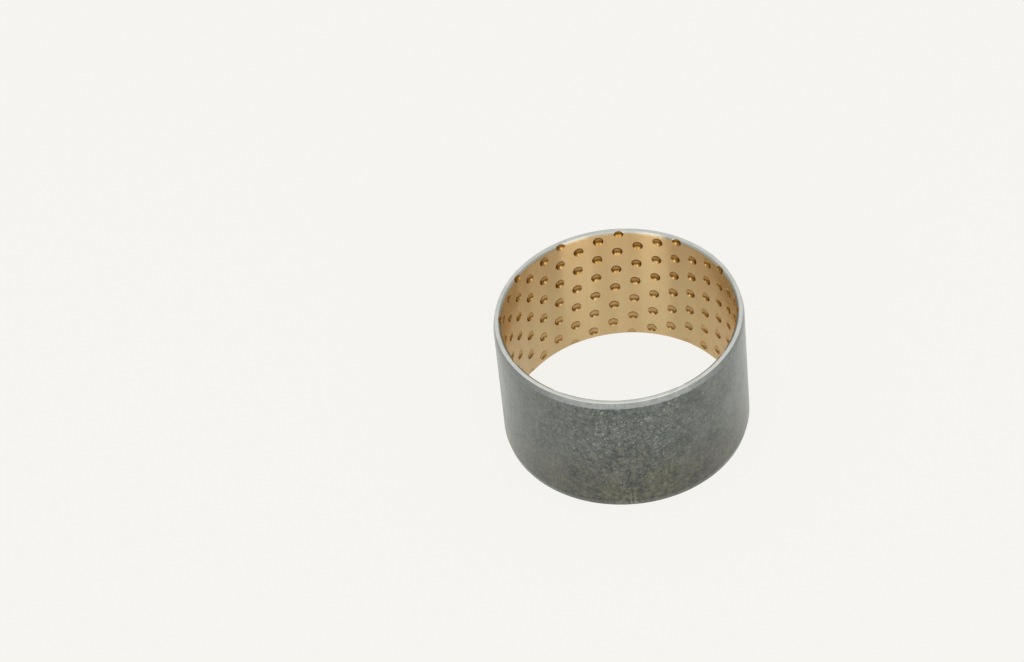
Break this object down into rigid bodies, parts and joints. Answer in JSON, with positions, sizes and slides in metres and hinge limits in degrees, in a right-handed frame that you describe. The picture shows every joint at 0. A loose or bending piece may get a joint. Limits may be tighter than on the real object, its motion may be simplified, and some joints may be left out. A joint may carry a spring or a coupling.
{
  "type": "steel-backed bronze bushing",
  "caption": "Wrapped plain bushing: a steel ring with a butt seam, lined with bronze whose bore is covered in a slanted grid of shallow round lubricant pockets.",
  "frame": {"origin": "centre of the lower end face, on the bore axis", "axes": "+Z along the bore axis, from the lower end face to the upper one; the butt seam lies near -Y"},
  "size_m": [0.08, 0.08, 0.0465],
  "materials": {
    "backing_steel": "rolled strip, dull grey and mottled outside, bright where it was cut",
    "lining_bronze": "satin leaded bronze with a faint grain along the bore"
  },
  "bodies": {
    "root": {"steel_backing": "backing_steel", "bronze_lining": "lining_bronze"}
  },
  "joints": []
}
